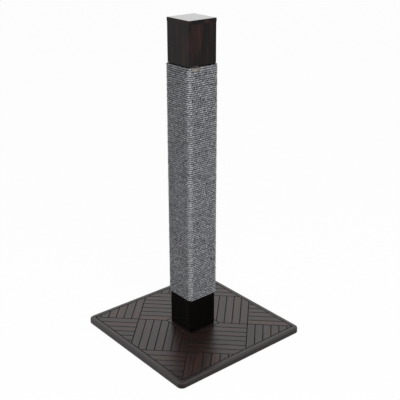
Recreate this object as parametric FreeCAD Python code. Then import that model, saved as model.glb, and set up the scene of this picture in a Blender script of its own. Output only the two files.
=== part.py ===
# A cat scratching post: a square hollow post, wound with rope, bolted to a square base board.
# Millimetres, +Z up. The origin is on the floor, under the middle of the base.
import FreeCAD, Part
import math
import os

Vector = FreeCAD.Vector
up = Vector(0, 0, 1)
os.makedirs("parts", exist_ok=True)

# Foot pads, glued under the base
foot_diameter = 25.0
foot_height = 3.0
foot_edge_rounding = 0.8
foot_inset = 30.0               # from the base's side to a pad's middle

# Base board
base_side = 400.0
base_thickness = 16.0
base_corner_radius = 14.0
base_top_rounding = 5.0
base_bottom_rounding = 2.0

# Parquet engraved in the base's top: squares of parallel strips, turned 45 degrees
groove_width = 2.6
groove_depth = 1.2
border_inset = 14.0             # from the base's side to the border groove
collar_margin = 9.5             # from the post's face to the collar groove
strip_width = 20.75
strips_per_square = 7

# Post: four mitred boards round a hollow, rebated where the rope lies
post_side = 81.0
board_thickness = 12.0
post_height = 791.0
post_edge_rounding = 1.5
bare_end_height = 94.5          # board left bare above and below the rope
rebate_depth = 1.5
core_edge_rounding = 2.5        # softened, so that the rope bends round it

# Cap and the two plugs glued inside the post's ends
cap_overhang = 0.5
cap_thickness = 9.0
cap_edge_rounding = 1.5
plug_clearance = 0.15
top_plug_thickness = 24.0
bottom_plug_thickness = 40.0

# Rope
rope_diameter = 4.5
rope_turn_gap = 0.5             # least room between one turn and the next
rope_seat_gap = 0.3
formed_turns = 12               # turns formed one by one at each end of the winding

# Bolts up through the base, with their washers and threaded inserts
bolt_spacing = 30.0
bolt_diameter = 6.0
bolt_beyond_insert = 4.4
bolt_head_diameter = 10.5
bolt_head_height = 3.3
bolt_head_rim = 1.0
bolt_socket_width = 4.0
bolt_socket_depth = 2.0
bolt_socket_rim = 1.4           # flat left round the socket on the head's crown
bolt_tip_chamfer = 1.0
bolt_hole_clearance = 0.3
washer_diameter = 12.0
washer_thickness = 1.6
washer_hole_clearance = 0.2
counterbore_recess = 2.1        # from the base's underside up to the bolt's head
counterbore_clearance = 0.75
insert_diameter = 10.0
insert_length = 15.0
insert_chamfer = 0.8
thread_clearance = 0.05
bolt_run_out = 4.0              # hole left beyond the bolt's tip

# Screws up through the top plug into the cap
cap_screw_spacing = 32.0
cap_screw_diameter = 4.0
cap_screw_cover = 3.0           # cap left above the screw's point
cap_screw_tip = 4.0
cap_screw_head_diameter = 8.0
cap_screw_slot_width = 1.2
cap_screw_slot_depth = 1.2

# Heights that follow
base_bottom = foot_height
base_top = base_bottom + base_thickness
post_top = base_top + post_height
cap_top = post_top + cap_thickness
rope_bottom = base_top + bare_end_height
rope_top = post_top - bare_end_height

# Widths that follow
bore_side = post_side - 2 * board_thickness
core_side = post_side - 2 * rebate_depth
plug_side = bore_side - 2 * plug_clearance

# Fasteners that follow
counterbore_depth = counterbore_recess + bolt_head_height + washer_thickness
bolt_length = washer_thickness + base_thickness - counterbore_depth + insert_length + bolt_beyond_insert
cap_screw_length = top_plug_thickness + cap_thickness - cap_screw_cover


def save(name, shape):
    """Write one sub-part and print what it holds."""
    shape.exportStep("parts/%s.step" % name)
    facts = (name, len(shape.Solids), shape.Volume, shape.isValid())
    print("%-22s %2d solid(s) %12.1f mm3  valid %s" % facts)


def cylinder(diameter, height, x, y, bottom):
    return Part.makeCylinder(diameter / 2, height, Vector(x, y, bottom))


def square_prism(side, bottom, height, corner_radius=0.0):
    """An upright square prism on the post's axis, its upright edges rounded."""
    prism = Part.makeBox(side, side, height, Vector(-side / 2, -side / 2, bottom))
    if corner_radius > 0:
        upright = [edge for edge in prism.Edges if abs(edge.tangentAt(edge.FirstParameter).z) > 0.5]
        prism = prism.makeFillet(corner_radius, upright)
    return prism


def edges_at(shape, height):
    """The outer edges that lie level at one height."""
    return [edge for edge in shape.Edges
            if abs(edge.BoundBox.ZMin - height) < 1e-6 and abs(edge.BoundBox.ZMax - height) < 1e-6]


def four_places(spacing):
    """Four points on a square pattern round the axis."""
    half = spacing / 2
    return [(-half, -half), (half, -half), (half, half), (-half, half)]


def revolved(profile, x, y, bottom):
    """A closed profile of (radius, height) points, turned about its own upright axis."""
    points = [Vector(radius, 0, height) for radius, height in profile]
    face = Part.Face(Part.makePolygon(points + points[:1]))
    solid = face.revolve(Vector(0, 0, 0), up, 360)
    solid.translate(Vector(x, y, bottom))
    return solid


# ---- Base board ----

def groove(start, end):
    """A V groove's waste between two points of the base's top."""
    along = end - start
    side = up.cross(along).normalize()
    lift = groove_depth / 4         # the waste stands this much above the board
    half_top = groove_width / 2 * (1 + lift / groove_depth)
    high = up * lift
    corners = [start - up * groove_depth, start + high + side * half_top, start + high - side * half_top]
    return Part.Face(Part.makePolygon(corners + corners[:1])).extrude(along)


def square_groove(side):
    """A groove round a square: four V grooves that cross at its corners."""
    reach = side / 2 + groove_width / 2
    middle = side / 2
    ends = [((-reach, -middle), (reach, -middle)), ((middle, -reach), (middle, reach)),
            ((reach, middle), (-reach, middle)), ((-middle, reach), (-middle, -reach))]
    return [groove(Vector(a[0], a[1], base_top), Vector(b[0], b[1], base_top)) for a, b in ends]


def parquet_point(along, across):
    """A point of the parquet, in its own axes, which lie at 45 degrees to the board's."""
    return Vector((along + across) / math.sqrt(2), (along - across) / math.sqrt(2), base_top)


def parquet_grooves(field_side):
    """Grooves between squares, and between the strips of each square, which turn by 90 degrees."""
    square = strip_width * strips_per_square
    reach = math.ceil(field_side / math.sqrt(2) / square)
    far = reach * square
    lines = []
    for number in range(-reach + 1, reach):
        place = number * square
        lines.append(((-far, place), (far, place)))
        lines.append(((place, -far), (place, far)))
    for column in range(-reach, reach):
        for row in range(-reach, reach):
            low = (column * square, row * square)
            for strip in range(1, strips_per_square):
                step = strip * strip_width
                if (column + row) % 2 == 0:
                    lines.append(((low[0], low[1] + step), (low[0] + square, low[1] + step)))
                else:
                    lines.append(((low[0] + step, low[1]), (low[0] + step, low[1] + square)))
    return [groove(parquet_point(*a), parquet_point(*b)) for a, b in lines]


def make_base_board():
    board = square_prism(base_side, base_bottom, base_thickness, base_corner_radius)
    board = board.makeFillet(base_top_rounding, edges_at(board, base_top))
    board = board.makeFillet(base_bottom_rounding, edges_at(board, base_bottom))

    border_side = base_side - 2 * border_inset
    collar_side = post_side + 2 * collar_margin
    field_height = 4 * groove_depth         # reaches well past the grooves, above and below
    field = square_prism(border_side, base_top - field_height / 2, field_height)
    field = field.cut(square_prism(collar_side, base_top - field_height / 2, field_height))
    waste = square_groove(border_side) + square_groove(collar_side)
    for line in parquet_grooves(border_side):
        waste.extend(line.common(field).Solids)
    board = board.cut(waste)

    holes = []
    for x, y in four_places(bolt_spacing):
        holes.append(cylinder(bolt_diameter + 2 * bolt_hole_clearance, base_thickness, x, y, base_bottom))
        counterbore = washer_diameter + 2 * counterbore_clearance
        holes.append(cylinder(counterbore, counterbore_depth, x, y, base_bottom))
    return board.cut(holes)


# ---- Post ----

def make_post_boards():
    """The hollow post with its rebate, parted along the mitres into its four boards."""
    post = square_prism(post_side, base_top, post_height, post_edge_rounding)
    rebate_height = rope_top - rope_bottom
    ring = square_prism(post_side + 2 * rebate_depth, rope_bottom, rebate_height)
    ring = ring.cut(square_prism(core_side, rope_bottom, rebate_height, core_edge_rounding))
    post = post.cut(ring).cut(square_prism(bore_side, base_top, post_height))
    boards = {}
    names = ["front", "right", "back", "left"]
    for turn, name in enumerate(names):
        corners = [Vector(0, 0, base_top), Vector(-post_side, -post_side, base_top),
                   Vector(post_side, -post_side, base_top)]
        wedge = Part.Face(Part.makePolygon(corners + corners[:1])).extrude(up * post_height)
        wedge.rotate(Vector(0, 0, 0), up, 90 * turn)
        boards["post_board_" + name] = post.common(wedge)
    return boards


def make_top_cap():
    cap = square_prism(post_side + 2 * cap_overhang, post_top, cap_thickness, post_edge_rounding)
    cap = cap.makeFillet(cap_edge_rounding, edges_at(cap, cap_top))
    bite = cap_screw_length - top_plug_thickness
    pilot = cap_screw_diameter + 2 * thread_clearance
    return cap.cut([cylinder(pilot, bite + thread_clearance, x, y, post_top)
                    for x, y in four_places(cap_screw_spacing)])


def make_top_plug():
    bottom = post_top - top_plug_thickness
    plug = square_prism(plug_side, bottom, top_plug_thickness)
    cone_top = cap_screw_diameter / 2 + thread_clearance
    cone_bottom = cap_screw_head_diameter / 2 + thread_clearance
    holes = []
    for x, y in four_places(cap_screw_spacing):
        holes.append(cylinder(2 * cone_top, top_plug_thickness, x, y, bottom))
        holes.append(Part.makeCone(cone_bottom, cone_top, cone_bottom - cone_top, Vector(x, y, bottom)))
    return plug.cut(holes)


def make_bottom_plug():
    plug = square_prism(plug_side, base_top, bottom_plug_thickness)
    bolt_room = insert_length + bolt_beyond_insert + bolt_run_out
    holes = []
    for x, y in four_places(bolt_spacing):
        holes.append(cylinder(insert_diameter + 2 * thread_clearance, insert_length, x, y, base_top))
        holes.append(cylinder(bolt_diameter + 2 * bolt_hole_clearance, bolt_room, x, y, base_top))
    return plug.cut(holes)


# ---- Rope ----

core_to_rope = rope_seat_gap + rope_diameter / 2
rope_half = core_side / 2 + core_to_rope            # from the post's axis to the rope's middle line
rope_bend = core_edge_rounding + core_to_rope       # radius of the middle line round the post's edges
first_turn = rope_bottom + core_to_rope
last_turn = rope_top - core_to_rope
turn_steps = math.floor((last_turn - first_turn) / (rope_diameter + rope_turn_gap))
rope_pitch = (last_turn - first_turn) / turn_steps


def rope_route(lowest, turns):
    """Corner points of the winding. Each turn lies level along three faces and steps up along the left."""
    points = [Vector(rope_bend - rope_half, -rope_half, lowest)]
    for turn in range(turns):
        height = lowest + turn * rope_pitch
        points.append(Vector(rope_half, -rope_half, height))
        points.append(Vector(rope_half, rope_half, height))
        if turn < turns - 1:
            points.append(Vector(-rope_half, rope_half, height))
            points.append(Vector(-rope_half, -rope_half, height + rope_pitch))
    points.append(Vector(rope_bend - rope_half, rope_half, lowest + (turns - 1) * rope_pitch))
    return points


def rounded_route(points):
    """Straight runs joined by tangent arcs, as edges in order."""
    edges = []
    start = points[0]
    for before, corner, after in zip(points, points[1:], points[2:]):
        back = (before - corner).normalize()
        ahead = (after - corner).normalize()
        half_angle = back.getAngle(ahead) / 2
        set_back = rope_bend / math.tan(half_angle)
        inward = (back + ahead).normalize()
        arc_start = corner + back * set_back
        arc_end = corner + ahead * set_back
        arc_middle = corner + inward * (rope_bend / math.sin(half_angle) - rope_bend)
        edges.append(Part.LineSegment(start, arc_start).toShape())
        edges.append(Part.Arc(arc_start, arc_middle, arc_end).toShape())
        start = arc_end
    edges.append(Part.LineSegment(start, points[-1]).toShape())
    return edges


def least_gap(edges):
    """The least gap between the rope and its own next turn, measured on points of the middle line."""
    step = 2.0
    line = []
    for edge in edges:
        pieces = max(1, math.ceil(edge.Length / step))
        first, last = edge.ParameterRange
        line.extend(edge.valueAt(first + (last - first) * piece / pieces) for piece in range(pieces))
    half_turn = int(2 * post_side / step)   # points in about half a turn
    least = None
    for index, point in enumerate(line):
        for other in range(index + half_turn, len(line) - 1):
            a, b = line[other], line[other + 1]
            if abs(a.z - point.z) > 2 * rope_pitch:
                continue
            share = max(0.0, min(1.0, (point - a).dot(b - a) / (b - a).dot(b - a)))
            distance = (a + (b - a) * share - point).Length
            if least is None or distance < least:
                least = distance
    return least - rope_diameter


def rope_turns(lowest, turns):
    """One unbroken tube of several turns."""
    edges = rounded_route(rope_route(lowest, turns))
    section = Part.Wire(Part.Circle(edges[0].Vertexes[0].Point, Vector(1, 0, 0), rope_diameter / 2).toShape())
    tube = Part.Wire(edges).makePipeShell([section], True, False)
    length = sum(edge.Length for edge in edges)
    print("rope: %d turns, least gap to itself %.3f mm, volume against section by length %.4f"
          % (turns, least_gap(edges), tube.Volume / (math.pi * rope_diameter ** 2 / 4 * length)))
    return tube


def make_rope_winding():
    """Formed turns at both ends, and a plain sleeve for the turns between them."""
    upper_lowest = last_turn - (formed_turns - 1) * rope_pitch
    lower_highest = first_turn + (formed_turns - 1) * rope_pitch
    sleeve_bottom = lower_highest + rope_pitch / 2
    sleeve_height = upper_lowest - rope_pitch / 2 - sleeve_bottom
    outer_side = 2 * rope_half + rope_diameter
    inner_side = core_side + 2 * rope_seat_gap
    sleeve = square_prism(outer_side, sleeve_bottom, sleeve_height, rope_bend + rope_diameter / 2)
    inner_radius = core_edge_rounding + rope_seat_gap
    sleeve = sleeve.cut(square_prism(inner_side, sleeve_bottom, sleeve_height, inner_radius))
    lower = rope_turns(first_turn, formed_turns)
    upper = rope_turns(upper_lowest, formed_turns)
    return Part.makeCompound([lower, sleeve, upper])


# ---- Fasteners and feet ----

def make_bolt(x, y, seat):
    """Button-head bolt, its head hanging under the height of its seat, its shank going up."""
    head_radius = bolt_head_diameter / 2
    shank_radius = bolt_diameter / 2
    crown_radius = bolt_socket_width / 2 + bolt_socket_rim
    profile = [(0, -bolt_head_height), (crown_radius, -bolt_head_height),
               (head_radius, -bolt_head_rim), (head_radius, 0), (shank_radius, 0),
               (shank_radius, bolt_length - bolt_tip_chamfer),
               (shank_radius - bolt_tip_chamfer, bolt_length), (0, bolt_length)]
    bolt = revolved(profile, x, y, seat)
    corner_radius = bolt_socket_width / math.sqrt(3)        # of the socket's hexagon
    corners = [Vector(x + corner_radius * math.cos(math.radians(60 * n)),
                      y + corner_radius * math.sin(math.radians(60 * n)), seat - bolt_head_height)
               for n in range(6)]
    socket = Part.Face(Part.makePolygon(corners + corners[:1])).extrude(up * bolt_socket_depth)
    return bolt.cut(socket)


def make_washer(x, y, top):
    hole = bolt_diameter + 2 * washer_hole_clearance
    washer = cylinder(washer_diameter, washer_thickness, x, y, top - washer_thickness)
    return washer.cut(cylinder(hole, washer_thickness, x, y, top - washer_thickness))


def make_insert(x, y):
    inner = bolt_diameter / 2 + thread_clearance
    outer = insert_diameter / 2
    profile = [(inner, 0), (outer, 0), (outer, insert_length - insert_chamfer),
               (outer - insert_chamfer, insert_length), (inner, insert_length)]
    return revolved(profile, x, y, base_top)


def make_cap_screw(x, y):
    """Countersunk wood screw, head down in the plug, point up in the cap."""
    head = cap_screw_head_diameter / 2
    shank = cap_screw_diameter / 2
    profile = [(0, 0), (head, 0), (shank, head - shank), (shank, cap_screw_length - cap_screw_tip),
               (0, cap_screw_length)]
    bottom = post_top - top_plug_thickness
    screw = revolved(profile, x, y, bottom)
    slots = [Part.makeBox(length, width, cap_screw_slot_depth, Vector(x - length / 2, y - width / 2, bottom))
             for length, width in [(shank * 2, cap_screw_slot_width), (cap_screw_slot_width, shank * 2)]]
    return screw.cut(slots)


def make_foot_pad(x, y):
    pad = cylinder(foot_diameter, foot_height, x, y, 0)
    return pad.makeFillet(foot_edge_rounding, edges_at(pad, 0))


# ---- Write every sub-part ----

save("base_board", make_base_board())
for name, board in make_post_boards().items():
    save(name, board)
save("top_cap", make_top_cap())
save("top_plug", make_top_plug())
save("bottom_plug", make_bottom_plug())
save("rope_winding", make_rope_winding())

washer_top = base_bottom + counterbore_depth
for number, (x, y) in enumerate(four_places(bolt_spacing), 1):
    save("base_bolt_%d" % number, make_bolt(x, y, washer_top - washer_thickness))
    save("flat_washer_%d" % number, make_washer(x, y, washer_top))
    save("threaded_insert_%d" % number, make_insert(x, y))
for number, (x, y) in enumerate(four_places(cap_screw_spacing), 1):
    save("cap_screw_%d" % number, make_cap_screw(x, y))
for number, (x, y) in enumerate(four_places(base_side - 2 * foot_inset), 1):
    save("foot_pad_%d" % number, make_foot_pad(x, y))
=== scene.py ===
import math

import bpy
import numpy as np
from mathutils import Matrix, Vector


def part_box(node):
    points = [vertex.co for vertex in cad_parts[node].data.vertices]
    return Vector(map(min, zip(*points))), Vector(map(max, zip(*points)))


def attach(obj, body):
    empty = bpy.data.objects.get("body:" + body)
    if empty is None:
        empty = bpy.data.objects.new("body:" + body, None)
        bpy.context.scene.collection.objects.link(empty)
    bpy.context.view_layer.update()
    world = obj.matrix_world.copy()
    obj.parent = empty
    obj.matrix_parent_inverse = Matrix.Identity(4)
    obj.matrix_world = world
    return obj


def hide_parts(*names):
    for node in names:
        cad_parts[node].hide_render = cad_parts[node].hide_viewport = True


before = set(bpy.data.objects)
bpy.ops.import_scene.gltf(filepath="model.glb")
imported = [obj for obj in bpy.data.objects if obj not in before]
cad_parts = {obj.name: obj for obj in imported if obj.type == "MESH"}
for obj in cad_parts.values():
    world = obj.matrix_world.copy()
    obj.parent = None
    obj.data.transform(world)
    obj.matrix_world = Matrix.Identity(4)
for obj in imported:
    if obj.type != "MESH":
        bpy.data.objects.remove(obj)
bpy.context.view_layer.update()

mm = 0.001
print("frame loaded:", len(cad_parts), "nodes")


# An sRGB hex colour as the linear values that sockets take.
def linear(hexCode):
    channels = [int(hexCode[place:place + 2], 16) / 255 for place in (1, 3, 5)]
    return [c / 12.92 if c <= 0.04045 else ((c + 0.055) / 1.055) ** 2.4 for c in channels] + [1.0]


# Adds a node: settings are set on it, and each input takes a value or a link from a socket.
def addNode(tree, kind, inputs=None, **settings):
    node = tree.nodes.new(kind)
    for name, value in settings.items():
        setattr(node, name, value)
    for name, value in (inputs or {}).items():
        if isinstance(value, bpy.types.NodeSocket):
            tree.links.new(value, node.inputs[name])
        else:
            node.inputs[name].default_value = value
    return node


# A new material with an empty tree, and its output node.
def newMaterial(name):
    material = bpy.data.materials.new(name)
    material.use_nodes = True
    material.node_tree.nodes.clear()
    return material, material.node_tree, material.node_tree.nodes.new("ShaderNodeOutputMaterial")


# Sets a colour ramp's stops from (place, hex) pairs.
def setStops(ramp, stops):
    elements = ramp.color_ramp.elements
    while len(elements) < len(stops):
        elements.new(0.5)
    for element, (place, hexCode) in zip(elements, stops):
        element.position = place
        element.color = linear(hexCode)


# Gives a node's faces their materials: whichOne says which of them each face takes.
def dress(nodeName, materials, whichOne=None):
    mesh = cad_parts[nodeName].data
    mesh.materials.clear()
    for material in materials:
        mesh.materials.append(material)
    if whichOne:
        for face in mesh.polygons:
            face.material_index = whichOne(face)


# Beech, stained espresso and sprayed with a satin lacquer. The stain hides most of the figure: long
# reddish streaks and fine dark pores show through, under an even clear gloss.
baseWood = {
    "dark": "#110a08", "middle": "#21130f", "red": "#56291d",
    "stops": (0.36, 0.54, 0.8),
    "streakWidth": 4.0,         # mm across the grain
    "streakLength": 160.0,      # mm along it
    "poreWidth": 0.9,           # mm, drawn coarser than real pores so that they show
    "poreLength": 14.0,         # mm
    "poreDepth": 0.04,          # mm
    "poreTone": (0.55, 1.1),    # share of the colour left in a pore, and between pores
    "roughness": 0.33,
    "streakDetail": 4.0,
    "paintedFootShade": -0.25,         # painted shade: the colour is darkest low down
    "footShadeHeights": (0.1, 0.7),  # m, from where to where that fades out
}
# The post's boards: the same beech, nearly black, with broad faint streaks and a harder shine.
postWood = dict(baseWood, dark="#040302", middle="#0e0806", red="#2f1613", stops=(0.34, 0.5, 0.74),
                streakWidth=19.0, streakLength=170.0, streakDetail=1.0, roughness=0.16)
# How strongly the lacquer mirrors the studio, as its IOR: on the upright boards it hardly shows. The
# lid has a thick polished coat over it, given as a weight.
lacquer = {"parquet": 1.6, "baseSide": 1.31, "post": 1.24, "capTop": 1.5, "capEdge": 1.24, "capCoat": 0.9}

# The parquet engraved in the base: see the grooves of base_board.
parquet = {
    "stripWidth": 20.75, "stripsPerSquare": 7,                      # mm
    "borderInset": 14.0, "collarHalf": 50.0, "grooveDepth": 1.2,    # mm
    "groove": "#060403",
    "grooveRoughness": (0.4, 0.65), "grooveShine": 0.15,
    "groovePatch": 1.43,        # mm, patches where the stain dried duller
    "stripTone": 0.08,          # by which one strip is darker or redder than the next
}


# Streaks and pores from grain coordinates in metres, whose X runs along the grain.
# Returns sockets of colour, roughness and normal.
def woodGrain(tree, wood, grainVector, toneShift):
    thin, long = 1 / (wood["streakWidth"] * mm), 1 / (wood["streakLength"] * mm)
    stretched = addNode(tree, "ShaderNodeVectorMath", {
        0: grainVector, 1: (long, thin, thin)}, operation="MULTIPLY")
    streaks = addNode(tree, "ShaderNodeTexNoise", {
        "Vector": stretched.outputs[0], "Scale": 1.0, "Detail": wood["streakDetail"], "Roughness": 0.6,
        "Distortion": 0.4})
    thin, long = 1 / (wood["poreWidth"] * mm), 1 / (wood["poreLength"] * mm)
    stretched = addNode(tree, "ShaderNodeVectorMath", {
        0: grainVector, 1: (long, thin, thin)}, operation="MULTIPLY")
    pores = addNode(tree, "ShaderNodeTexNoise", {
        "Vector": stretched.outputs[0], "Scale": 1.0, "Detail": 2.0, "Roughness": 0.5})
    shifted = addNode(tree, "ShaderNodeMath", {0: streaks.outputs["Fac"], 1: toneShift}, operation="ADD")
    tone = addNode(tree, "ShaderNodeValToRGB", {"Fac": shifted.outputs[0]})
    setStops(tone, list(zip(wood["stops"], (wood["dark"], wood["middle"], wood["red"]))))
    poreShade = addNode(tree, "ShaderNodeMapRange", {
        "Value": pores.outputs["Fac"], "From Min": 0.35, "From Max": 0.6,
        "To Min": wood["poreTone"][0], "To Max": wood["poreTone"][1]})
    colour = addNode(tree, "ShaderNodeMix", {
        "Factor": 1.0, 6: tone.outputs["Color"], 7: poreShade.outputs[0]},
        data_type="RGBA", blend_type="MULTIPLY")
    roughness = addNode(tree, "ShaderNodeMapRange", {
        "Value": pores.outputs["Fac"], "From Min": 0.3, "From Max": 0.7,
        "To Min": wood["roughness"] + 0.06, "To Max": wood["roughness"] - 0.03})
    bump = addNode(tree, "ShaderNodeBump", {
        "Strength": 0.5, "Distance": wood["poreDepth"] * mm, "Height": pores.outputs["Fac"]})
    return colour.outputs[2], roughness.outputs[0], bump.outputs[0]


# Boards whose grain runs one way. grain names the axes along it, across it and through the board.
def stainedBoard(name, wood, grain, ior, coat=0.0):
    material, tree, output = newMaterial(name)
    place = addNode(tree, "ShaderNodeTexCoord")
    apart = addNode(tree, "ShaderNodeSeparateXYZ", {0: place.outputs["Object"]})
    turned = addNode(tree, "ShaderNodeCombineXYZ", {
        n: apart.outputs[axis] for n, axis in enumerate(grain)})
    # Painted shade: the tone is shifted darker towards the foot of the boards.
    low, high = wood["footShadeHeights"]
    shift = addNode(tree, "ShaderNodeMapRange", {
        "Value": apart.outputs["Z"], "From Min": low, "From Max": high,
        "To Min": wood["paintedFootShade"], "To Max": 0.0})
    colour, roughness, normal = woodGrain(tree, wood, turned.outputs[0], shift.outputs[0])
    shader = addNode(tree, "ShaderNodeBsdfPrincipled", {
        "Base Color": colour, "Roughness": roughness, "Normal": normal, "IOR": ior,
        "Coat Weight": coat, "Coat Roughness": 0.08})
    tree.links.new(shader.outputs[0], output.inputs["Surface"])
    return material


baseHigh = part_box("base_board")[1]


# The engraved board: each strip has its own tone and its grain along its length.
def stainedParquet(name, wood):
    material, tree, output = newMaterial(name)
    square = parquet["stripWidth"] * parquet["stripsPerSquare"] * mm
    place = addNode(tree, "ShaderNodeTexCoord").outputs["Object"]
    slant = math.sqrt(0.5)
    along = addNode(tree, "ShaderNodeVectorMath", {
        0: place, 1: (slant, slant, 0)}, operation="DOT_PRODUCT")
    across = addNode(tree, "ShaderNodeVectorMath", {
        0: place, 1: (slant, -slant, 0)}, operation="DOT_PRODUCT")
    column = addNode(tree, "ShaderNodeMath", {0: along.outputs["Value"], 1: square}, operation="DIVIDE")
    column = addNode(tree, "ShaderNodeMath", {0: column.outputs[0]}, operation="FLOOR")
    row = addNode(tree, "ShaderNodeMath", {0: across.outputs["Value"], 1: square}, operation="DIVIDE")
    row = addNode(tree, "ShaderNodeMath", {0: row.outputs[0]}, operation="FLOOR")
    both = addNode(tree, "ShaderNodeMath", {0: column.outputs[0], 1: row.outputs[0]}, operation="ADD")
    turned = addNode(tree, "ShaderNodeMath", {0: both.outputs[0], 1: 2.0}, operation="FLOORED_MODULO")
    lengthwise = addNode(tree, "ShaderNodeMix", {
        0: turned.outputs[0], 2: along.outputs["Value"], 3: across.outputs["Value"]})
    crosswise = addNode(tree, "ShaderNodeMix", {
        0: turned.outputs[0], 2: across.outputs["Value"], 3: along.outputs["Value"]})
    strip = addNode(tree, "ShaderNodeMath", {
        0: crosswise.outputs[0], 1: parquet["stripWidth"] * mm}, operation="DIVIDE")
    strip = addNode(tree, "ShaderNodeMath", {0: strip.outputs[0]}, operation="FLOOR")

    # The plain rim and collar take one even grain along X.
    size = addNode(tree, "ShaderNodeVectorMath", {0: place}, operation="ABSOLUTE")
    size = addNode(tree, "ShaderNodeSeparateXYZ", {0: size.outputs[0]})
    reach = addNode(tree, "ShaderNodeMath", {
        0: size.outputs["X"], 1: size.outputs["Y"]}, operation="MAXIMUM")
    onRim = addNode(tree, "ShaderNodeMath", {
        0: reach.outputs[0], 1: baseHigh.x - parquet["borderInset"] * mm}, operation="GREATER_THAN")
    onCollar = addNode(tree, "ShaderNodeMath", {
        0: reach.outputs[0], 1: parquet["collarHalf"] * mm}, operation="LESS_THAN")
    plain = addNode(tree, "ShaderNodeMath", {
        0: onRim.outputs[0], 1: onCollar.outputs[0]}, operation="MAXIMUM")
    stripPlace = addNode(tree, "ShaderNodeCombineXYZ", {
        "X": strip.outputs[0], "Y": column.outputs[0], "Z": row.outputs[0]})
    chance = addNode(tree, "ShaderNodeTexWhiteNoise", {
        "Vector": stripPlace.outputs[0]}, noise_dimensions="3D")
    stripGrain = addNode(tree, "ShaderNodeCombineXYZ", {
        "X": lengthwise.outputs[0], "Y": crosswise.outputs[0], "Z": chance.outputs["Value"]})
    grain = addNode(tree, "ShaderNodeMix", {
        0: plain.outputs[0], 4: stripGrain.outputs[0], 5: place}, data_type="VECTOR")
    stripTone = parquet["stripTone"]
    shift = addNode(tree, "ShaderNodeMapRange", {
        "Value": chance.outputs["Value"], "To Min": -stripTone, "To Max": stripTone})
    shift = addNode(tree, "ShaderNodeMix", {0: plain.outputs[0], 2: shift.outputs[0], 3: -stripTone})
    colour, roughness, normal = woodGrain(tree, wood, grain.outputs[1], shift.outputs[0])
    shader = addNode(tree, "ShaderNodeBsdfPrincipled", {
        "Base Color": colour, "Roughness": roughness, "Normal": normal, "IOR": lacquer["parquet"]})
    tree.links.new(shader.outputs[0], output.inputs["Surface"])
    return material


# Stain pooled in the grooves, where little lacquer gets: near black, with hardly any shine.
def pooledStain(name):
    material, tree, output = newMaterial(name)
    place = addNode(tree, "ShaderNodeTexCoord")
    noise = addNode(tree, "ShaderNodeTexNoise", {
        "Vector": place.outputs["Object"], "Scale": 1 / (parquet["groovePatch"] * mm), "Detail": 2.0})
    low, high = parquet["grooveRoughness"]
    roughness = addNode(tree, "ShaderNodeMapRange", {
        "Value": noise.outputs["Fac"], "To Min": low, "To Max": high})
    shader = addNode(tree, "ShaderNodeBsdfPrincipled", {
        "Base Color": linear(parquet["groove"]), "Roughness": roughness.outputs[0],
        "IOR": 1.5, "Specular IOR Level": parquet["grooveShine"]})
    tree.links.new(shader.outputs[0], output.inputs["Surface"])
    return material


grooveLow = baseHigh.z - 1.1 * parquet["grooveDepth"] * mm      # a little below the grooves
grooveHigh = baseHigh.z - 0.01 * mm                             # a little below the flat top
grooveReach = baseHigh.x - 0.8 * parquet["borderInset"] * mm    # past the border groove, short of the rim
sideUp = 0.3                    # a face that looks up less than this belongs to the side
lidUp = 0.9                     # and one that looks up less than this, to the lid's edge


# The board's top and rounded rim take the parquet, its grooves the pooled stain, and its sides and
# underside one thin coat.
def baseFace(face):
    middle = face.center
    if grooveLow < middle.z < grooveHigh and max(abs(middle.x), abs(middle.y)) < grooveReach:
        return 1
    return 2 if face.normal.z < sideUp else 0


dress("base_board", [stainedParquet("espressoParquet", baseWood), pooledStain("pooledStain"),
                     stainedBoard("espressoSide", baseWood, "XYZ", lacquer["baseSide"])], baseFace)
postBoard = stainedBoard("espressoPost", postWood, "ZXY", lacquer["post"])
for side in ("front", "right", "back", "left"):
    dress("post_board_" + side, [postBoard])
capTop = stainedBoard("espressoCapTop", postWood, "XYZ", lacquer["capTop"], lacquer["capCoat"])
capEdge = stainedBoard("espressoCapEdge", postWood, "XYZ", lacquer["capEdge"])
dress("top_cap", [capTop, capEdge], lambda face: face.normal.z < lidUp)
print("stained wood done")


# Raw beech, sawn and sanded: pale, dry and without gloss.
plugs = {
    "dark": "#b98f62", "pale": "#d4b184", "roughness": 0.75,
    "grainWidth": 2.5, "grainLength": 33.3,         # mm
}


def rawBeech():
    material, tree, output = newMaterial("rawBeech")
    place = addNode(tree, "ShaderNodeTexCoord")
    thin, long = 1 / (plugs["grainWidth"] * mm), 1 / (plugs["grainLength"] * mm)
    scaled = addNode(tree, "ShaderNodeVectorMath", {
        0: place.outputs["Object"], 1: (thin, thin, long)}, operation="MULTIPLY")
    noise = addNode(tree, "ShaderNodeTexNoise", {
        "Vector": scaled.outputs[0], "Scale": 1.0, "Detail": 3.0})
    tone = addNode(tree, "ShaderNodeValToRGB", {"Fac": noise.outputs["Fac"]})
    setStops(tone, [(0.35, plugs["dark"]), (0.65, plugs["pale"])])
    shader = addNode(tree, "ShaderNodeBsdfPrincipled", {
        "Base Color": tone.outputs["Color"], "Roughness": plugs["roughness"]})
    tree.links.new(shader.outputs[0], output.inputs["Surface"])
    return material


# Steel, cold headed and bright zinc plated: a grey metal with a slightly cloudy shine.
fasteners = {
    "colour": "#c4c8cc", "roughness": (0.28, 0.42),
    "cloud": 1.11,              # mm across a cloudy patch of the plating
}


def zincPlatedSteel():
    material, tree, output = newMaterial("zincPlatedSteel")
    place = addNode(tree, "ShaderNodeTexCoord")
    noise = addNode(tree, "ShaderNodeTexNoise", {
        "Vector": place.outputs["Object"], "Scale": 1 / (fasteners["cloud"] * mm), "Detail": 2.0})
    low, high = fasteners["roughness"]
    roughness = addNode(tree, "ShaderNodeMapRange", {
        "Value": noise.outputs["Fac"], "To Min": low, "To Max": high})
    shader = addNode(tree, "ShaderNodeBsdfPrincipled", {
        "Base Color": linear(fasteners["colour"]), "Metallic": 1.0, "Roughness": roughness.outputs[0]})
    tree.links.new(shader.outputs[0], output.inputs["Surface"])
    return material


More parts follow.
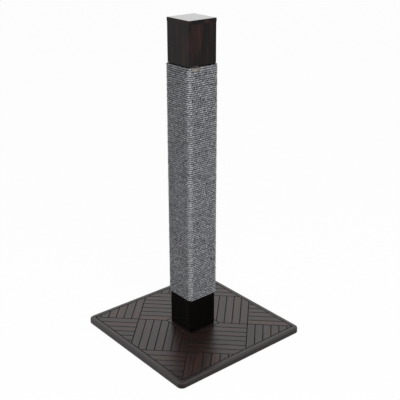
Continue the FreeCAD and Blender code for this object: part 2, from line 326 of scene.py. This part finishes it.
# Black rubber, moulded: matt, with a fine spark-eroded grain.
pads = {
    "colour": "#1b1b1c", "roughness": 0.8,
    "grain": 0.67, "grainDepth": 0.05,              # mm, drawn coarser than the real grain
}


def mouldedRubber():
    material, tree, output = newMaterial("mouldedRubber")
    place = addNode(tree, "ShaderNodeTexCoord")
    noise = addNode(tree, "ShaderNodeTexNoise", {
        "Vector": place.outputs["Object"], "Scale": 1 / (pads["grain"] * mm), "Detail": 2.0})
    bump = addNode(tree, "ShaderNodeBump", {
        "Strength": 0.4, "Distance": pads["grainDepth"] * mm, "Height": noise.outputs["Fac"]})
    shader = addNode(tree, "ShaderNodeBsdfPrincipled", {
        "Base Color": linear(pads["colour"]), "Roughness": pads["roughness"], "Normal": bump.outputs[0]})
    tree.links.new(shader.outputs[0], output.inputs["Surface"])
    return material


beech, zinc, rubber = rawBeech(), zincPlatedSteel(), mouldedRubber()
dress("top_plug", [beech])
dress("bottom_plug", [beech])
for number in "1234":
    for fastener in ("base_bolt_", "flat_washer_", "threaded_insert_", "cap_screw_"):
        dress(fastener + number, [zinc])
    dress("foot_pad_" + number, [rubber])
print("hidden pieces done")


# Sisal, three strands laid up and dyed grey. Each turn lies level round three sides and steps up to the
# next along the left side. The solid's turns are thinner and stand clear of each other: these touch.
rope = {
    "thickness": 5.2,           # mm
    "solidThickness": 4.5,      # mm, of the turns in rope_winding
    "proud": 1.3,               # mm by which its middle line lies further out than the solid's
    "turns": 120,
    "short": 1.9,               # mm by which the top turn ends below the top of the solid
    "bend": 7.5,                # mm, radius of the middle line round the post's edges
    "strands": 3,
    "strandShape": [0.72, 0.93, 1.0, 0.93],         # shares of the radius, from valley to crown and on
    "lay": 19.0,                # mm along the rope in which a strand goes once round
    "layDrift": 1.6,            # radians by which the twist drifts, so that strands never line up
    "driftLengths": (0.83, 0.31),                   # m of rope for each radian of the drift's two waves
    "ringStep": 1.6,            # mm between cross sections
    "stray": 0.13,              # mm by which a turn strays in and out, and up and down
    "waver": 0.03, "waverLengths": (0.047, 0.019),  # mm of waver in a turn, and m for each radian of it
    "mostStray": 0.45,          # mm, so that no turn leaves its neighbours
    "pieces": 3,
    "dark": "#3a3b3d", "middle": "#696a6d", "light": "#999b9e", "stops": (0.38, 0.5, 0.62),
    "fibreWidth": 0.35, "fibreLength": 7.0,         # mm, drawn coarser than real fibres so that they show
    "tuftWidth": 2.4, "tuftLength": 8.0,            # mm, patches where light or dark fibres gather
    "tuftShare": 0.75,          # of tufts against single fibres in the colour
    "strandShare": 0.1,         # of each strand's own shade in the colour
    "strandPatch": 125.0,       # mm over which that shade changes
    "paintedValleyShade": 0.42,             # share of the colour left between the turns: painted shade where the turns meet
    "paintedCornerHighlight": 0.06,             # painted highlight: by which the bends round the post's edges are painted paler
    "cornerHighlightFrom": 11.0, "cornerHighlightTo": 3.0,            # mm from the corner, where that starts and is full
    "fibreRelief": 0.15,        # mm
}


# Where and which way the rope runs: sizes taken from the solid.
def ropeCourse():
    low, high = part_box("rope_winding")
    solidRadius = rope["solidThickness"] / 2 * mm
    course = {
        "radius": rope["thickness"] / 2 * mm, "bend": rope["bend"] * mm,
        "half": high.x - solidRadius + rope["proud"] * mm,
        "lowest": low.z + solidRadius,
        "pitch": (high.z - low.z - 2 * solidRadius - rope["short"] * mm) / (rope["turns"] - 1)}
    course["run"] = 2 * (course["half"] - course["bend"])
    course["arc"] = math.pi / 2 * course["bend"]
    course["turnLength"] = 4 * (course["run"] + course["arc"])
    course["end"] = course["turnLength"] * (rope["turns"] - 0.25) - course["arc"]
    return course


# Middle line of the winding at distances along it: points, ways ahead and ways outward.
# Each turn strays by its own amount, which changes evenly from corner to corner.
def ropeLine(course, distance):
    run, arc, bend = course["run"], course["arc"], course["bend"]
    turn = np.floor(distance / course["turnLength"])
    inTurn = distance - turn * course["turnLength"]
    side = np.minimum(np.floor(inTurn / (run + arc)), 3)
    inSide = inTurn - side * (run + arc)
    straight = np.minimum(inSide, run)
    angle = np.maximum(inSide - run, 0) / bend          # turned so far round the corner after the run
    x = straight - run / 2 + bend * np.sin(angle)
    y = bend * (1 - np.cos(angle)) - course["half"]
    quarter = side * math.pi / 2
    cos, sin = np.cos(quarter), np.sin(quarter)
    step = np.where(side == 3, straight / run, 0)
    height = course["lowest"] + course["pitch"] * (turn + step * step * (3 - 2 * step))
    ahead = np.stack([np.cos(quarter + angle), np.sin(quarter + angle), 0 * angle], 1)
    outward = np.stack([np.sin(quarter + angle), -np.cos(quarter + angle), 0 * angle], 1)
    point = np.stack([cos * x - sin * y, sin * x + cos * y, height], 1)
    chance = np.random.default_rng(11)
    corners = np.arange(4 * rope["turns"] + 2) * (run + arc)
    for way in (outward, np.array([0, 0, 1])):
        stray = np.interp(distance, corners, chance.normal(0, rope["stray"] * mm, len(corners)))
        waver = sum(np.sin(distance / length + chance.uniform(0, 6)) for length in rope["waverLengths"])
        most = rope["mostStray"] * mm
        point = point + way * np.clip(stray + waver * rope["waver"] * mm, -most, most)[:, None]
    return point, ahead, outward


# A mesh of tubes that all have the same number of rings and corners, closed at both ends.
# rings is tubes x rings x corners x 3, and the UV maps are tubes x rings x (corners + 1) x 2.
def makeTubes(name, rings, maps, material):
    tubes, length, sides = rings.shape[:3]
    start = (np.arange(tubes) * length * sides)[:, None, None]
    ring = start + (np.arange(length - 1) * sides)[None, :, None]
    near, far = np.arange(sides)[None, None, :], (np.arange(sides)[None, None, :] + 1) % sides
    corners = [ring + near, ring + far, ring + sides + far, ring + sides + near]
    quads = np.stack(np.broadcast_arrays(*corners), 3).reshape(-1, 4)
    first = start[:, 0, 0][:, None] + np.arange(sides)[None, :][:, ::-1]
    last = start[:, 0, 0][:, None] + (length - 1) * sides + np.arange(sides)[None, :]
    faces = quads.tolist() + first.tolist() + last.tolist()
    mesh = bpy.data.meshes.new(name)
    mesh.from_pydata(rings.reshape(-1, 3).tolist(), [], faces)
    mesh.polygons.foreach_set("use_smooth", [True] * len(quads) + [False] * 2 * tubes)
    mesh.materials.append(material)
    for mapName, values in maps.items():
        near, far = values[:, :, :-1], values[:, :, 1:]
        quadValues = np.stack([near[:, :-1], far[:, :-1], far[:, 1:], near[:, 1:]], 3).reshape(-1, 2)
        capValues = np.repeat(values[:, 0, 0], sides * 2, 0)
        uvs = np.concatenate([quadValues, capValues])
        mesh.uv_layers.new(name=mapName).data.foreach_set("uv", uvs.ravel())
    piece = bpy.data.objects.new(name, mesh)
    bpy.context.scene.collection.objects.link(piece)
    return piece


# Every rope piece stands for the solid winding and stays with the one rigid body.
def asRope(piece):
    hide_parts("rope_winding")
    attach(piece, "root")


# Dyed sisal: dull stiff fibres that lie along the rope, some pale and some dark, with next to no shine.
# The bends round the post's edges are painted paler: a painted highlight.
def dyedSisal(name, course):
    material, tree, output = newMaterial(name)
    place = addNode(tree, "ShaderNodeUVMap", uv_map="ropeLength").outputs[0]
    shades = []
    for kind, detail in (("fibre", 3.0), ("tuft", 1.0)):
        scale = (1 / (rope[kind + "Length"] * mm), 1 / (rope[kind + "Width"] * mm), 1)
        scaled = addNode(tree, "ShaderNodeVectorMath", {0: place, 1: scale}, operation="MULTIPLY")
        shades.append(addNode(tree, "ShaderNodeTexNoise", {
            "Vector": scaled.outputs[0], "Scale": 1.0, "Detail": detail, "Roughness": 0.65},
            noise_dimensions="2D"))
    scale = (1 / (rope["strandPatch"] * mm), rope["strands"] / (math.pi * rope["thickness"] * mm), 1.0)
    strandShade = addNode(tree, "ShaderNodeVectorMath", {0: place, 1: scale}, operation="MULTIPLY")
    strandShade = addNode(tree, "ShaderNodeTexNoise", {
        "Vector": strandShade.outputs[0], "Scale": 1.0, "Detail": 2.0}, noise_dimensions="2D")
    # Painted highlight: the colour is paler on the bends round the post's edges.
    where = addNode(tree, "ShaderNodeTexCoord")
    size = addNode(tree, "ShaderNodeVectorMath", {0: where.outputs["Object"]}, operation="ABSOLUTE")
    size = addNode(tree, "ShaderNodeSeparateXYZ", {0: size.outputs[0]})
    least = addNode(tree, "ShaderNodeMath", {
        0: size.outputs["X"], 1: size.outputs["Y"]}, operation="MINIMUM")
    cornerHighlight = addNode(tree, "ShaderNodeMapRange", {
        "Value": least.outputs[0], "From Min": course["half"] - rope["cornerHighlightFrom"] * mm,
        "From Max": course["half"] - rope["cornerHighlightTo"] * mm, "To Max": rope["paintedCornerHighlight"]},
        interpolation_type="SMOOTHSTEP")
    mixed = addNode(tree, "ShaderNodeMix", {
        0: rope["tuftShare"], 2: shades[0].outputs["Fac"], 3: shades[1].outputs["Fac"]})
    mixed = addNode(tree, "ShaderNodeMix", {
        0: rope["strandShare"], 2: mixed.outputs[0], 3: strandShade.outputs["Fac"]})
    mixed = addNode(tree, "ShaderNodeMath", {0: mixed.outputs[0], 1: cornerHighlight.outputs[0]}, operation="ADD")
    tone = addNode(tree, "ShaderNodeValToRGB", {"Fac": mixed.outputs[0]})
    setStops(tone, list(zip(rope["stops"], (rope["dark"], rope["middle"], rope["light"]))))

    # Painted shade in the valleys: where the surface looks up or down, it lies between two turns, and its
    # colour is darkened there.
    facing = addNode(tree, "ShaderNodeNewGeometry").outputs["Normal"]
    facing = addNode(tree, "ShaderNodeSeparateXYZ", {0: facing})
    facing = addNode(tree, "ShaderNodeMath", {0: facing.outputs["Z"]}, operation="ABSOLUTE")
    shade = addNode(tree, "ShaderNodeMapRange", {
        "Value": facing.outputs[0], "From Min": 0.4, "From Max": 0.85,
        "To Min": 1.0, "To Max": rope["paintedValleyShade"]})
    colour = addNode(tree, "ShaderNodeMix", {
        "Factor": 1.0, 6: tone.outputs["Color"], 7: shade.outputs[0]},
        data_type="RGBA", blend_type="MULTIPLY")
    bump = addNode(tree, "ShaderNodeBump", {
        "Strength": 0.6, "Distance": rope["fibreRelief"] * mm, "Height": shades[0].outputs["Fac"]})
    shader = addNode(tree, "ShaderNodeBsdfPrincipled", {
        "Base Color": colour.outputs[2], "Roughness": 0.85, "Normal": bump.outputs[0]})
    tree.links.new(shader.outputs[0], output.inputs["Surface"])
    return material


# Single sisal fibres, off the rope or in its cut end: dull, one light and the next dark. patch is the
# distance in mm over which the shade changes.
def singleFibres(name, stops, patch=3.333):
    material, tree, output = newMaterial(name)
    place = addNode(tree, "ShaderNodeTexCoord")
    noise = addNode(tree, "ShaderNodeTexNoise", {
        "Vector": place.outputs["Object"], "Scale": 1 / (patch * mm), "Detail": 2.0})
    tone = addNode(tree, "ShaderNodeValToRGB", {"Fac": noise.outputs["Fac"]})
    setStops(tone, stops)
    shader = addNode(tree, "ShaderNodeBsdfPrincipled", {
        "Base Color": tone.outputs["Color"], "Roughness": 0.6})
    tree.links.new(shader.outputs[0], output.inputs["Surface"])
    return material


def makeRope(course, material):
    end, turnLength = course["end"], course["turnLength"]
    backMiddle = 2.5 / 4 * turnLength - course["arc"] / 2       # pieces meet in the middle of the back
    turnsEach = rope["turns"] // rope["pieces"]
    cuts = [0] + [turnLength * (turnsEach * n - 1) + backMiddle for n in range(1, rope["pieces"])] + [end]
    reach = course["radius"] * np.array(rope["strandShape"] * rope["strands"])
    around = np.arange(len(reach)) * 2 * math.pi / len(reach)
    for number in range(rope["pieces"]):
        count = int((cuts[number + 1] - cuts[number]) / (rope["ringStep"] * mm)) + 1
        distance = np.linspace(cuts[number], cuts[number + 1], count)
        point, ahead, outward = ropeLine(course, distance)
        upward = np.cross(outward, ahead)
        twist = distance / (rope["lay"] * mm) * 2 * math.pi
        drift = sum(np.sin(distance / length) for length in rope["driftLengths"])
        twist = twist + rope["layDrift"] * drift
        angle = around[None, :] + twist[:, None]
        rings = (point[:, None, :] + (reach * np.cos(angle))[:, :, None] * outward[:, None, :]
                 + (reach * np.sin(angle))[:, :, None] * upward[:, None, :])

        # Real length and girth, for the fibres.
        girth = np.linspace(0, 1, len(reach) + 1)[None, :]
        fibres = np.stack(np.broadcast_arrays(distance[:, None], girth * 2 * math.pi * course["radius"]), 2)
        maps = {"ropeLength": fibres[None]}
        piece = makeTubes("ropeTurns" + str(number + 1), rings[None], maps, material)
        asRope(piece)
        print("rope piece", number + 1, "has", len(piece.data.polygons), "faces")


# Tubes along given lines, each thinning to both ends. lines is tubes x points x 3.
def tubesAlong(name, lines, width, sides, material):
    tubes, length = lines.shape[:2]
    ahead = np.gradient(lines, axis=1)
    ahead /= np.linalg.norm(ahead, axis=2, keepdims=True)
    across = np.cross(ahead, np.array([0.31, 0.17, 0.93]))      # a way that hardly any fibre follows
    across /= np.linalg.norm(across, axis=2, keepdims=True)
    over = np.cross(ahead, across)
    thin = np.sin(np.linspace(0.12, 0.88, length) * math.pi)[None, :] * np.reshape(width, (-1, 1)) / 2
    angle = np.arange(sides) * 2 * math.pi / sides
    rings = (lines[:, :, None, :] + (thin[:, :, None] * np.cos(angle))[..., None] * across[:, :, None, :]
             + (thin[:, :, None] * np.sin(angle))[..., None] * over[:, :, None, :])

    # For baking, each tube has its own cell of a square grid.
    grid = math.ceil(math.sqrt(tubes))
    cell = np.stack([np.arange(tubes) % grid, np.arange(tubes) // grid], 1)[:, None, None, :]
    along = np.linspace(0.1, 0.9, length)[None, :, None]
    roundTube = np.linspace(0.1, 0.9, sides + 1)[None, None, :]
    inCell = np.stack(np.broadcast_arrays(along, roundTube), 3)
    piece = makeTubes(name, rings, {"OFBake": (cell + inCell) / grid}, material)
    asRope(piece)
    return piece


# Fibres that stand off the rope: each leaves its turn, leans along it and springs away a little.
loose = {
    "count": 3500,
    "length": 6.0, "width": 0.16,       # mm
    "lengths": (0.4, 1.4), "widths": (0.7, 1.3),    # shares of these, from the least to the most
    "lean": 0.5,                        # radians up or down the turn's side, where a fibre leaves it
    "rise": (0.05, 0.35),               # share of its length by which a fibre's tip springs away
    "drift": 0.25,                      # share of its length by which the tip drifts up or down
    "rooted": 0.85,                     # share of the rope's radius at which it starts
}


def makeLooseFibres(course, material):
    chance = np.random.default_rng(5)
    count = loose["count"]
    distance = chance.uniform(0, course["end"], count)
    point, ahead, outward = ropeLine(course, distance)
    lean = chance.normal(0, loose["lean"], count)[:, None]
    rootWay = outward * np.cos(lean) + np.array([0, 0, 1]) * np.sin(lean)
    way = ahead * np.where(chance.random(count) < 0.5, -1, 1)[:, None]
    length = (loose["length"] * mm * chance.uniform(*loose["lengths"], count))[:, None]
    rise = chance.uniform(*loose["rise"], count)[:, None]
    drift = np.array([0, 0, 1]) * chance.normal(0, loose["drift"], count)[:, None]
    root = point + rootWay * course["radius"] * loose["rooted"]
    lines = np.stack([root + length * (share * way + share * share * rise * rootWay + share * share * drift)
                      for share in (0, 0.35, 0.7, 1.0)], 1)
    width = loose["width"] * mm * chance.uniform(*loose["widths"], count)
    tubesAlong("looseFibres", lines, width, 3, material)


# A cut end, untwisted into nine strips and glued flat over the top turns beside the front corner. It
# kept the sisal's own grey brown, so it shows as a dull warm patch.
cutEnd = {
    "length": 27.0, "height": 7.0,      # mm
    "fromCorner": -2.0,                 # mm from the bend to its start
    "drop": 4.4,                        # mm below the top of the winding
    "strands": 9, "strandWidth": 1.2,
    "hairs": 7, "hairLength": 13.0, "hairWidth": 0.3,
    "colours": [(0.35, "#625d59"), (0.6, "#837e78")],
}


def makeCutEnd(course):
    chance = np.random.default_rng(3)
    material = singleFibres("undyedSisal", cutEnd["colours"])
    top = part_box("rope_winding")[1].z
    outer = course["half"] + course["radius"]
    count = cutEnd["strands"]
    start = -(course["half"] - course["bend"]) + cutEnd["fromCorner"] * mm
    share = np.linspace(0, 1, 7)
    lines = []

    # Each strip lies a little lower than the one before, in shallow waves of its own.
    for strand in range(count):
        splay = (strand + 0.5) / count * cutEnd["height"] * mm * (0.6 + 0.4 * share)
        height = top - cutEnd["drop"] * mm - splay
        along = start + share * cutEnd["length"] * mm * chance.uniform(0.75, 1.05)
        out = outer + 0.1 * mm + 0.25 * mm * np.sin(share * 9 + strand * 2.1)
        lines.append(np.stack([out, along, height + 0.15 * mm * np.sin(share * 14 + strand)], 1))
    tubesAlong("cutEnd", np.array(lines), cutEnd["strandWidth"] * mm * np.ones(count), 6, material)

    # A few long hairs stray from the top turn over the wood above.
    hairs = []
    for hair in range(cutEnd["hairs"]):
        along = start + chance.uniform(-8, 12) * mm
        bow = np.array([0.1, 0.9, 1.3, 1.2]) * chance.uniform(0.4, 1.6) * mm
        run = np.array([0, 0.35, 0.7, 1.0]) * cutEnd["hairLength"] * chance.uniform(0.5, 1.1) * mm
        hairs.append(np.stack([outer - 0.6 * mm - bow, along + run, top - 0.6 * mm + bow * 1.5], 1))
    tubesAlong("strayHairs", np.array(hairs), cutEnd["hairWidth"] * mm * np.ones(len(hairs)), 4, material)


course = ropeCourse()
makeRope(course, dyedSisal("greySisal", course))
makeLooseFibres(course, singleFibres("greyFibres", [(0.35, rope["middle"]), (0.6, rope["light"])]))
makeCutEnd(course)
print("rope done")


stage = {
    "floorHalf": 15.0,          # m
    "floorColour": "#f0f0f0",
    "whiteShare": 0.97,         # of plain white in the floor that the eye sees; the rest takes shadow
    "ambient": 0.3,             # the world's light on the object, where the eye sees 1
}
# A wide soft lamp on the right and a small one on the left. Places and sizes in metres, powers in watts.
lamps = {
    "key": {"place": (2.4, -1.15, 1.5), "aim": (0, 0, 0.45), "size": 2.6, "power": 106.0},
    "fill": {"place": (-0.4, -2.2, 0.5), "aim": (0, 0, 0.2), "size": 1.0, "power": 8.0},
}
# The camera, as fitted to the outline of the real post.
view = {
    "place": (1.3932, -1.1399, 1.1094),     # metres
    "turn": 50.10, "down": 22.36,           # degrees
    "lens": 70.25,                          # mm, on a 36 mm square
}


# 1 for what the eye, gloss or glass sees, and 0 for light that falls on the object.
def seenDirectly(tree):
    ray = addNode(tree, "ShaderNodeLightPath")
    seen = addNode(tree, "ShaderNodeMath", {
        0: ray.outputs["Is Camera Ray"], 1: ray.outputs["Is Glossy Ray"]}, operation="MAXIMUM")
    seen = addNode(tree, "ShaderNodeMath", {
        0: seen.outputs[0], 1: ray.outputs["Is Transmission Ray"]}, operation="MAXIMUM")
    return seen.outputs[0]


# White paper sweep: matt, and shown near white to the eye and in gloss, with the object's shadow kept.
def makeFloor():
    half = stage["floorHalf"]
    corners = [(-half, -half, 0), (half, -half, 0), (half, half, 0), (-half, half, 0)]
    material, tree, output = newMaterial("paperSweep")
    share = addNode(tree, "ShaderNodeMath", {
        0: seenDirectly(tree), 1: stage["whiteShare"]}, operation="MULTIPLY")
    matt = addNode(tree, "ShaderNodeBsdfDiffuse", {"Color": linear(stage["floorColour"])})
    glow = addNode(tree, "ShaderNodeEmission", {"Color": (1, 1, 1, 1), "Strength": 1.0})
    mixed = addNode(tree, "ShaderNodeMixShader", {
        0: share.outputs[0], 1: matt.outputs[0], 2: glow.outputs[0]})
    tree.links.new(mixed.outputs[0], output.inputs["Surface"])
    mesh = bpy.data.meshes.new("floor")
    mesh.from_pydata(corners, [], [(0, 1, 2, 3)])
    mesh.materials.append(material)
    floor = bpy.data.objects.new("floor", mesh)
    bpy.context.scene.collection.objects.link(floor)


def makeWorld():
    world = bpy.data.worlds.new("studio")
    bpy.context.scene.world = world
    world.use_nodes = True
    tree = world.node_tree
    tree.nodes.clear()
    strength = addNode(tree, "ShaderNodeMapRange", {
        "Value": seenDirectly(tree), "To Min": stage["ambient"], "To Max": 1.0})
    glow = addNode(tree, "ShaderNodeBackground", {"Color": (1, 1, 1, 1), "Strength": strength.outputs[0]})
    addNode(tree, "ShaderNodeOutputWorld", {"Surface": glow.outputs[0]})


def makeLamps():
    for name, facts in lamps.items():
        lamp = bpy.data.lights.new(name, "AREA")
        lamp.size = facts["size"]
        lamp.energy = facts["power"]
        holder = bpy.data.objects.new(name, lamp)
        holder.visible_glossy = False       # gloss mirrors the white studio, not the lamps
        holder.location = facts["place"]
        holder.rotation_euler = (Vector(facts["aim"]) - holder.location).to_track_quat("-Z", "Y").to_euler()
        bpy.context.scene.collection.objects.link(holder)


def makeCamera():
    camera = bpy.data.cameras.new("camera")
    camera.lens = view["lens"]
    holder = bpy.data.objects.new("camera", camera)
    holder.location = view["place"]
    holder.rotation_euler = (math.radians(90 - view["down"]), 0, math.radians(view["turn"]))
    bpy.context.scene.collection.objects.link(holder)
    bpy.context.scene.camera = holder


makeFloor()
makeWorld()
makeLamps()
makeCamera()
bpy.context.scene.view_settings.view_transform = "Standard"
print("stage done")
